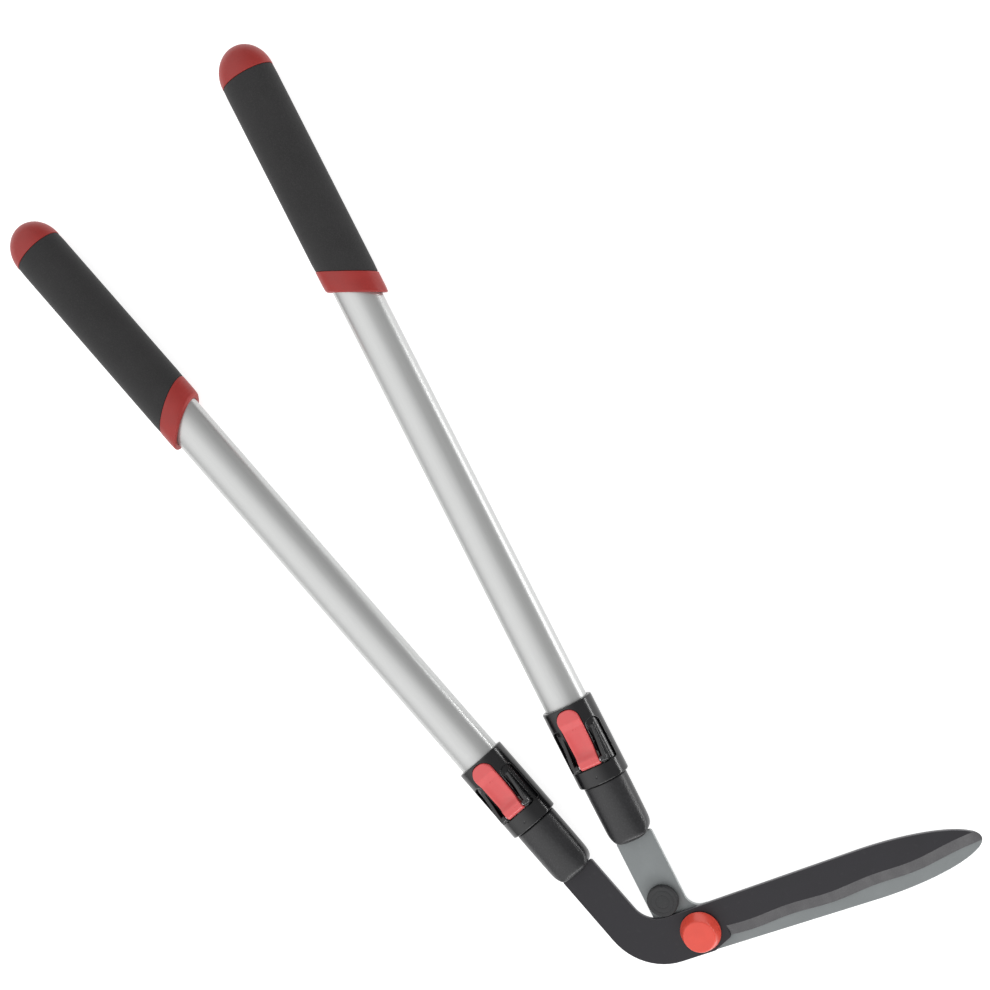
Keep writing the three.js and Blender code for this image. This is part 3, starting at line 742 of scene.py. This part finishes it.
# ---------- pivot and stop ----------
def hexagon_head(across_corners, height):
    """A bolt head whose lower corners are cut back by a cone, down to a round flat face."""
    angles = np.linspace(0, 2 * math.pi, ROUND_SIDES, endpoint=False)
    apothem = across_corners * math.cos(math.pi / 6)
    flats = apothem / np.cos((angles - math.pi / 6) % (math.pi / 3) - math.pi / 6)
    face = apothem * 0.95
    rings = []
    for radius, z in (
        (np.full(ROUND_SIDES, face * 0.55), np.full(ROUND_SIDES, 0.35)),
        (np.full(ROUND_SIDES, face * 0.62), np.zeros(ROUND_SIDES)),
        (np.full(ROUND_SIDES, face), np.zeros(ROUND_SIDES)),
        (flats, (flats - face) * math.tan(math.radians(30))),
        (flats, np.full(ROUND_SIDES, height - 0.2)),
        (flats - 0.2, np.full(ROUND_SIDES, height)),
    ):
        rings.append(np.stack([radius * np.cos(angles), radius * np.sin(angles), z], axis=-1))
    return rings


def build_pivot():
    low, high = (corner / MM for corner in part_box("pivot_knob"))
    base, top, radius = low.z, high.z, high.x
    shank_hole, shank_top = KNOB_SHANK_HOLE[0], base + KNOB_SHANK_HOLE[1]
    nut_hole, nut_top = KNOB_NUT_HOLE[0], base + KNOB_NUT_HOLE[1]
    recess = base + KNOB_RECESS
    knob = turned([
        (0, shank_top), (shank_hole, shank_top, 0.5), (shank_hole, nut_top), (nut_hole, nut_top, 0.3),
        (nut_hole, recess), (radius - 4.5, recess, 0.6),
        (radius - 4.5, base), (radius - 0.3, base, 0.5), (radius, base + 1.4, 1.0),
        (radius - 2.9, top - 2.4, 3.0), (radius - 3.9, top - 0.3, 1.4), (0, top),
    ], steps=8)
    add_piece("tension_knob_cap", knob, [LOOKS["knob"]], "tension_knob", "knob_red", ["pivot_knob"])

    low, high = (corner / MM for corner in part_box("pivot_bolt"))
    head_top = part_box("pivot_washer")[0].z / MM - GAP
    rings = hexagon_head(high.y, head_top)
    angles = np.linspace(0, 2 * math.pi, ROUND_SIDES, endpoint=False)
    chamfer_start = high.z - BOLT_CHAMFER
    shank = ((BOLT_SHANK, head_top), (BOLT_SHANK, chamfer_start), (BOLT_SHANK - BOLT_CHAMFER, high.z))
    for r, z in shank:
        rings.append(np.stack([r * np.cos(angles), r * np.sin(angles), np.full(ROUND_SIDES, z)], axis=-1))
    add_piece("pivot_bolt_hex", skin(rings), [LOOKS["steel"]], "front_lever", "steel", ["pivot_bolt"])

    low, high = (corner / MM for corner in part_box("bumper"))
    edge = (high.x - low.x) / 2
    centre = Matrix.Translation(Vector((BUMPER_CENTRE.x, BUMPER_CENTRE.y, 0)) * MM)
    grooves = []
    for groove in (edge * 0.72, edge * 0.42):
        grooves += [(groove + 0.5, high.z), (groove, high.z - 0.3, 0.2), (groove - 0.5, high.z)]
    recess, rubber = STOP_RECESS
    stop = turned([
        (0, high.z - rubber), (recess, high.z - rubber), (recess, low.z), (edge - 0.8, low.z, 0.4),
        (edge, low.z + 0.8, 0.4), (edge, high.z - 0.7, 0.5), (edge - 0.9, high.z, 0.4),
        *grooves, (0, high.z),
    ])
    add_piece("arm_stop", stop, [LOOKS["bumper"]], "rear_lever", "stop_rubber", ["bumper"], centre)

    low, high = (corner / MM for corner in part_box("bumper_stud"))
    head = (high.x - low.x) / 2
    stud = turned([
        (0, low.z + 0.2), (1.6, low.z, 0.3), (head - 0.2, low.z + 0.5, 1.0), (head, low.z + 1.6, 0.2),
        (3, low.z + 1.6), (3, high.z - 0.4, 0.2), (2.6, high.z), (0, high.z),
    ])
    add_piece("arm_stop_stud", stud, [LOOKS["steel"]], "rear_lever", "steel", ["bumper_stud"], centre)


# ---------- handle pieces ----------
def socket_distance(x, y, z):
    half_width, half_height = SOCKET
    end = SOCKET_TOP + 20
    plan = rounded([
        (-half_width - 4, end), (-half_width, SOCKET_FOOT + 4.3, 16), (0, SOCKET_FOOT - 2.6, 24),
        (half_width, SOCKET_FOOT + 4.3, 16), (half_width + 4, end),
    ], 10, closed=False)
    side = rounded([
        (-half_height - 4, end), (-half_height, SOCKET_FOOT, 9), (half_height, SOCKET_FOOT, 9),
        (half_height + 4, end),
    ], 10, closed=False)
    body = both(oval_distance(x, y, SOCKET), z - SOCKET_TOP, 2.0)
    body = both(body, polygon_distance(x, z, plan), 3.0)
    body = both(body, polygon_distance(y, z, side), 3.0)
    groove = both(oval_distance(x, y, INNER_TUBE, 0.4), -oval_distance(x, y, INNER_TUBE, -2.0), 0.2)
    body = without(body, both(groove, INNER_START - GAP - z, 0.2), 0.4)
    slot = both(np.abs(y) - SLOT_HALF, z - SHOULDER - GAP, 0.2)
    tang = both(both(np.abs(y) - SLOT_HALF, np.abs(x) - TANG_HALF - GAP, 0.2), z - TANG_TOP - GAP, 0.2)
    pin_hole = both(np.hypot(x, z - SOCKET_PIN_STATION) - SOCKET_PIN_HOLE[0], y + SOCKET_PIN_HOLE[1], 0.2)
    return without(without(without(body, slot, 0.4), tang, 0.4), pin_hole, 0.5)


def clamp_distance(x, y, z):
    z = z - CLAMP_START
    side = np.abs(x)
    window = LEVER_HALF + GAP
    body = both(oval_distance(x, y, CLAMP), between(z, 0, CLAMP_LENGTH), 1.5)
    pocket_plan = rounded([
        (POCKET[0], RING), (POCKET[0], POCKET_END, 4.2), (POCKET[1], POCKET_END, 4.5), (POCKET[1], RING, 1),
    ])
    pocket = both(polygon_distance(side, z, pocket_plan), -oval_distance(x, y, OUTER_TUBE, POCKET_WALL))
    body = without(body, both(pocket, -y, 0.5), 1.4)
    ear_side = rounded([
        (EAR_FOOT, RING + 0.6), (PIN_HEIGHT - 2, RING + 0.6, 1),
        (PIN_HEIGHT + 2.8, PIN_STATION - 2.4, 2.5), (PIN_HEIGHT + 2.4, PIN_STATION + 5, 9),
        (PIN_HEIGHT - 1.4, EAR_END - 14, 30), (11.2, EAR_END, 2.5), (EAR_FOOT, EAR_END),
    ])
    ear = both(polygon_distance(y, z, ear_side), between(side, EAR[0], EAR[1]), 0.7)
    boss_span = between(side, BOSS_INNER, EAR[0] + 1)
    boss = both(np.hypot(y - PIN_HEIGHT, z - PIN_STATION) - BOSS_RADIUS, boss_span, 0.3)
    foot = both(between(y, EAR_FOOT, PIN_HEIGHT), between(z, RING + 0.6, PIN_STATION + BOSS_RADIUS), 0.3)
    boss = either(boss, both(foot, boss_span, 0.3), 0.4)
    body = either(body, either(ear, boss, 0.3), 0.6)
    channel_plan = rounded([
        (-window, RING), (-window, LEVER_END + GAP, window - 0.05), (window, LEVER_END + GAP, window - 0.05),
        (window, RING),
    ], 16)
    channel = both(polygon_distance(x, z, channel_plan), CHANNEL_FLOOR - y, 0.4)
    body = without(body, channel, 0.4)
    pad = both(both(side - window, between(z, RING, PAD_END + GAP), 0.3), PAD_FOOT - y, 0.3)
    body = without(body, pad, 0.4)
    upper = both(oval_distance(x, y, OUTER_TUBE, GAP), TUBE_STOP - GAP - z, 0.3)
    lower = oval_distance(x, y, OUTER_TUBE, -TUBE_WALL)
    body = without(without(body, upper, 0.7), lower, 0.7)
    pin = both(np.hypot(y - PIN_HEIGHT, z - PIN_STATION) - PIN_RADIUS - GAP, side - PIN_HALF - 1, 0.2)
    body = without(body, pin, 0.4)
    rivet = both(np.hypot(x, z - RIVET_STATION) - RIVET_RECESS[0], y + RIVET_RECESS[1], 0.2)
    dimple_height = y - CLAMP[1] - DIMPLE_LIFT
    dimple = np.sqrt(x * x + dimple_height**2 + (z - DIMPLE_STATION) ** 2) - DIMPLE_RADIUS
    return without(without(body, rivet, 0.5), dimple, 0.4)


def lever_distance(x, y, z):
    z = z - CLAMP_START
    under = CHANNEL_FLOOR + GAP
    top = PIN_HEIGHT + HUB_RADIUS
    profile = rounded([
        (LEVER_FOOT, PIN_STATION + 1), (LEVER_FOOT, LEVER_END),
        (18.0, LEVER_END, 1.6), (LEVER_TAB, LEVER_STEP + 3.5, 3.0),
        (LEVER_FACE, LEVER_STEP - 2.5, 5.0), (17.5, 37, 60), (17.7, 27.5, 5), (top, 23.4, 3),
        (top - 0.3, PIN_STATION - 1.2, 1.8),
        (PIN_HEIGHT, PIN_STATION - HUB_RADIUS + 0.2), (LEVER_FOOT, PIN_STATION - HUB_RADIUS + 0.2),
    ])
    dished = eased((z - 22) / 10) * eased((LEVER_STEP - 1 - z) / 10)
    dish = LEVER_DISH * dished * eased(1 - (x / (HUB_HALF - 0.5)) ** 2)
    taper = np.clip((LEVER_STEP - z) / (LEVER_STEP - PIN_STATION), 0, 1)
    half = LEVER_HALF - (LEVER_HALF - HUB_HALF) * taper
    plan = rounded([
        (-LEVER_HALF, 5), (-LEVER_HALF, LEVER_END, LEVER_HALF - 0.05),
        (LEVER_HALF, LEVER_END, LEVER_HALF - 0.05), (LEVER_HALF, 5),
    ], 16)
    body = both(polygon_distance(y + dish, z, profile), polygon_distance(x, z, plan), 1.2)
    body = both(body, both(np.abs(x) - half, under - y, 0.2), 0.8)
    body = both(body, PIN_STATION - 3 - z, 0.3)
    hub_round = np.hypot(y - PIN_HEIGHT + HUB_OFFSET, z - PIN_STATION - HUB_OFFSET) - HUB_RADIUS
    hub = both(hub_round, np.abs(x) - half, 1.2)
    body = either(body, hub, 0.6)
    return without(body, np.hypot(y - PIN_HEIGHT, z - PIN_STATION) - PIN_RADIUS - GAP, 0.3)


def build_handle(name, outward, shapes):
    place = handle_place(name)
    lever_body, handle_body, lock_body = f"{name}_lever", f"{name}_handle", f"{name}_lock"

    def slant(station):
        share = (CAP_START - station) / (CAP_START - COLLAR_END)
        return -COLLAR_SLANT * outward * min(1, max(0, share))

    def put(label, shape, look, body, slot, node, **options):
        piece = f"{name}_{label}"
        return add_piece(piece, shape, [LOOKS[look]], body, slot, [f"{name}_{node}"], place, **options)

    put("socket_moulding", shapes["socket"], "socket", lever_body, "socket_black", "socket", crease=0)
    put("clamp_moulding", shapes["clamp"], "clamp", handle_body, "clamp_black", "clamp", crease=0)
    put("lever_moulding", shapes["lever"], "lever", lock_body, "lever_red", "lock_lever", crease=0)

    tube = along_section(INNER_TUBE, [
        (0, INNER_START, 0.2), (0, INNER_END, 0.3), (INNER_WALL, INNER_END, 0.3),
        (INNER_WALL, INNER_START, 0.2),
    ])
    put("inner_tube_skin", skin(oval_rings(tube), closed=True), "tube", lever_body,
        "tube_aluminium", "inner_tube")
    tube = along_section(OUTER_TUBE, [
        (0, OUTER_START, 0.3), (0, OUTER_END, 0.3), (TUBE_WALL, OUTER_END, 0.3),
        (TUBE_WALL, OUTER_START, 0.3),
    ])
    put("outer_tube_skin", skin(oval_rings(tube), closed=True), "tube", handle_body,
        "tube_aluminium", "outer_tube")

    bore = GRIP[0] - OUTER_TUBE[0] - GAP
    core = along_section(GRIP, [
        (bore, OUTER_END + GAP), (bore, COLLAR_START, 0.5), (0.4, COLLAR_START, 1.9),
        (0, COLLAR_START + 6, 4), (0, COLLAR_END, 0.5), (CORE_INSET, COLLAR_END, 0.2),
        (CORE_INSET, CAP_START, 0.2), (0, CAP_START, 0.4), (0, CAP_START + 0.6),
    ], closed=False)
    core[0] = (1.0, 0.5, OUTER_END + GAP)
    core.insert(1, (OUTER_TUBE[0] + GAP, OUTER_TUBE[1] + GAP, OUTER_END + GAP))
    for degrees in (*range(6, 84, 6), 84, 88):
        angle = math.radians(degrees)
        size = math.cos(angle)
        core.append((GRIP[0] * size, GRIP[1] * size, CAP_START + 0.6 + (CAP_LENGTH - 0.6) * math.sin(angle)))
    put("grip_core_moulding", skin(oval_rings(core, slant)), "grip_red", handle_body,
        "grip_red", "grip_core")

    inner = CORE_INSET - GAP
    sleeve = along_section(GRIP, [
        (inner, COLLAR_END + GAP), (0.25, COLLAR_END + GAP, 0.7), (0, COLLAR_END + 8, 8),
        (0, CAP_START - 8, 8), (0.25, CAP_START - GAP, 0.7), (inner, CAP_START - GAP),
    ])
    put("grip_sleeve_skin", skin(oval_rings(sleeve, slant), closed=True), "grip", handle_body,
        "grip_rubber", "grip_sleeve")


# ---------- small CAD pieces that stay as they are, softened and given their materials ----------
def finish_small_nodes():
    small = {"pivot_washer": "steel", "pivot_bush": "bronze", "spring_washer": "steel", "knob_nut": "steel"}
    for name in ("front", "rear"):
        small[f"{name}_socket_pin"] = "steel"
        small[f"{name}_guide_bush"] = "nylon"
        small[f"{name}_clamp_rivet"] = "steel"
        small[f"{name}_lever_pin"] = "steel"
        small[f"{name}_brake_pad"] = "nylon"
    for node, look in small.items():
        piece = frame["nodes"][node]
        piece.data.materials.clear()
        piece.data.materials.append(LOOKS[look])
        piece.data.polygons.foreach_set("use_smooth", [True] * len(piece.data.polygons))
        weld = piece.modifiers.new("weld", "WELD")
        weld.merge_threshold = WELD_DISTANCE * MM
        soften = piece.modifiers.new("soften", "BEVEL")
        soften.width = SOFT_EDGE * MM
        soften.segments = 3
        soften.limit_method = "ANGLE"
        soften.angle_limit = math.radians(40)
        even = piece.modifiers.new("even_normals", "WEIGHTED_NORMAL")
        even.keep_sharp = True


# ---------- studio ----------
def aim(thing, target, roll=0.0):
    """Turns a light or camera at its place to face the target."""
    facing = (Vector(target) - thing.location).to_track_quat("-Z", "Y")
    thing.rotation_mode = "QUATERNION"
    thing.rotation_quaternion = facing @ Quaternion((0, 0, 1), math.radians(roll))


def add_camera():
    data = bpy.data.cameras.new("camera")
    data.lens = CAMERA_LENS
    data.sensor_width = CAMERA_SENSOR
    data.clip_end = 50
    camera = bpy.data.objects.new("camera", data)
    bpy.context.scene.collection.objects.link(camera)
    camera.location = CAMERA_PLACE
    aim(camera, CAMERA_TARGET, CAMERA_ROLL)
    bpy.context.scene.camera = camera


def add_softbox(name, place, size, power, target):
    data = bpy.data.lights.new(name, "AREA")
    data.shape = "RECTANGLE"
    data.size, data.size_y = size
    data.energy = power
    light = bpy.data.objects.new(name, data)
    bpy.context.scene.collection.objects.link(light)
    light.location = place
    aim(light, target)


def add_studio():
    middle = (cad_low + cad_high) / 2
    for name, (offset, size, power) in SOFTBOXES.items():
        add_softbox(name, middle + Vector(offset), size, power, middle)
    world = bpy.data.worlds.new("studio")
    world.use_nodes = True
    tree = world.node_tree
    backdrop = tree.nodes["Background"]
    backdrop.inputs["Color"].default_value = (1, 1, 1, 1)
    direction = tree.nodes.new("ShaderNodeTexCoord")
    parts = tree.nodes.new("ShaderNodeSeparateXYZ")
    across = tree.nodes.new("ShaderNodeMapRange")
    across.interpolation_type = "SMOOTHSTEP"
    across.inputs["From Min"].default_value = WORLD_ACROSS[0]
    across.inputs["From Max"].default_value = WORLD_ACROSS[1]
    across.inputs["To Min"].default_value = WORLD_SIDES[0]
    across.inputs["To Max"].default_value = WORLD_SIDES[1]
    rising = tree.nodes.new("ShaderNodeMapRange")
    rising.inputs["From Max"].default_value = WORLD_RISE
    rising.inputs["To Min"].default_value = WORLD_HORIZON
    strength = tree.nodes.new("ShaderNodeMath")
    strength.operation = "MULTIPLY"
    tree.links.new(direction.outputs["Generated"], parts.inputs["Vector"])
    tree.links.new(parts.outputs["X"], across.inputs["Value"])
    tree.links.new(parts.outputs["Z"], rising.inputs["Value"])
    tree.links.new(across.outputs["Result"], strength.inputs[0])
    tree.links.new(rising.outputs["Result"], strength.inputs[1])
    tree.links.new(strength.outputs["Value"], backdrop.inputs["Strength"])
    bpy.context.scene.world = world
    bpy.context.scene.view_settings.view_transform = "Standard"

    mesh = bpy.data.meshes.new("floor")
    half, height = FLOOR_HALF, cad_low.z
    corners = [(-half, -half, height), (half, -half, height), (half, half, height), (-half, half, height)]
    mesh.from_pydata(corners, [], [(0, 1, 2, 3)])
    look = Look("pale_floor", (0.5, 0.5, 0.5), 0.9, specular=0.1)
    look.shader.inputs["Emission Color"].default_value = (1, 1, 1, 1)
    look.shader.inputs["Emission Strength"].default_value = FLOOR_GLOW
    mesh.materials.append(look.build(300, 0.01, 4, 0.01, 0.01, 0.03))
    floor = bpy.data.objects.new("floor", mesh)
    bpy.context.scene.collection.objects.link(floor)


add_camera()
LOOKS = make_looks()
build_levers()
build_pivot()
SHAPES = {
    "socket": net(socket_distance, (-20, -14, SOCKET_FOOT - 3), (20, 14, SOCKET_TOP), 0.55),
    "clamp": net(clamp_distance, (-23, -18, CLAMP_START), (23, 21, CLAMP_START + CLAMP_LENGTH), 0.5),
    "lever": net(lever_distance, (-10, 12, CLAMP_START + 14), (10, 21, CLAMP_START + LEVER_END), 0.35),
}
build_handle("front", 1, SHAPES)
build_handle("rear", -1, SHAPES)
finish_small_nodes()
add_studio()
